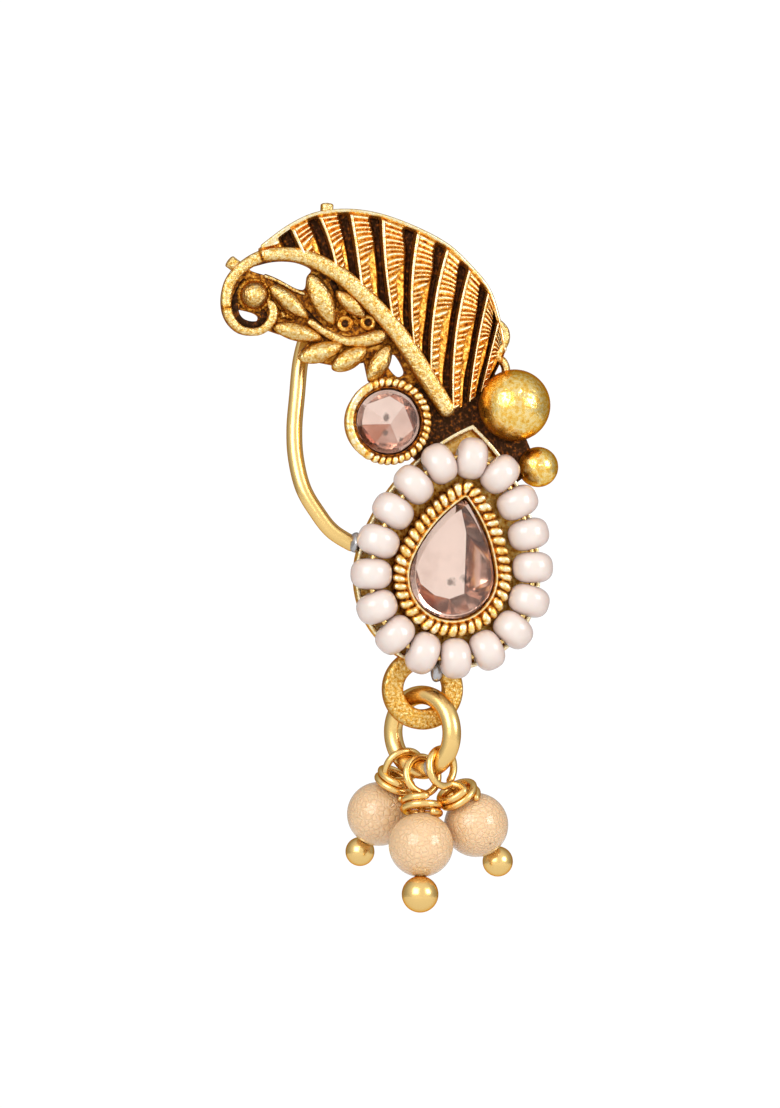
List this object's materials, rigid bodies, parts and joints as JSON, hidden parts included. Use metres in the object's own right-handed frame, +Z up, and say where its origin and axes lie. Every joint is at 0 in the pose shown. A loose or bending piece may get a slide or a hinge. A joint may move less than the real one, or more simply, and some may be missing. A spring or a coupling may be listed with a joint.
{
  "type": "nath nose ring",
  "caption": "Nose ring with a curled feather casting, a pearl-edged pear stone, a round stone, a nose wire and pearl drops on a jump ring.",
  "frame": {"origin": "the nostril's place, midway between the nose wire's tip and the flat back of the casting", "axes": "+Z up as it hangs, -Y the front with the stones, +X to the right seen from the front"},
  "size_m": [0.0227, 0.0089, 0.0468],
  "materials": {
    "antique_gold": "antique gold plate, satin with dark recesses",
    "polished_gold": "polished gold plate",
    "solder": "silver-grey solder",
    "cream_pearl": "cream pearl lustre",
    "peach_pearl": "peach crackled pearl lustre",
    "champagne_glass": "foil-backed champagne glass, cut and polished"
  },
  "bodies": {
    "root": {"soldered_frame": "antique_gold", "round_stone": "champagne_glass", "pear_stone": "champagne_glass", "pearl_01": "cream_pearl", "pearl_02": "cream_pearl", "pearl_03": "cream_pearl", "pearl_04": "cream_pearl", "pearl_05": "cream_pearl", "pearl_06": "cream_pearl", "pearl_07": "cream_pearl", "pearl_08": "cream_pearl", "pearl_09": "cream_pearl", "pearl_10": "cream_pearl", "pearl_11": "cream_pearl", "pearl_12": "cream_pearl", "pearl_13": "cream_pearl", "pearl_14": "cream_pearl", "pearl_15": "cream_pearl", "pearl_16": "cream_pearl", "pearl_17": "cream_pearl", "pearl_wire": "polished_gold", "jump_ring": "polished_gold", "drop_pin_left": "polished_gold", "drop_pin_middle": "polished_gold", "drop_pin_right": "polished_gold", "drop_bead_left": "peach_pearl", "drop_bead_middle": "peach_pearl", "drop_bead_right": "peach_pearl"}
  },
  "joints": []
}
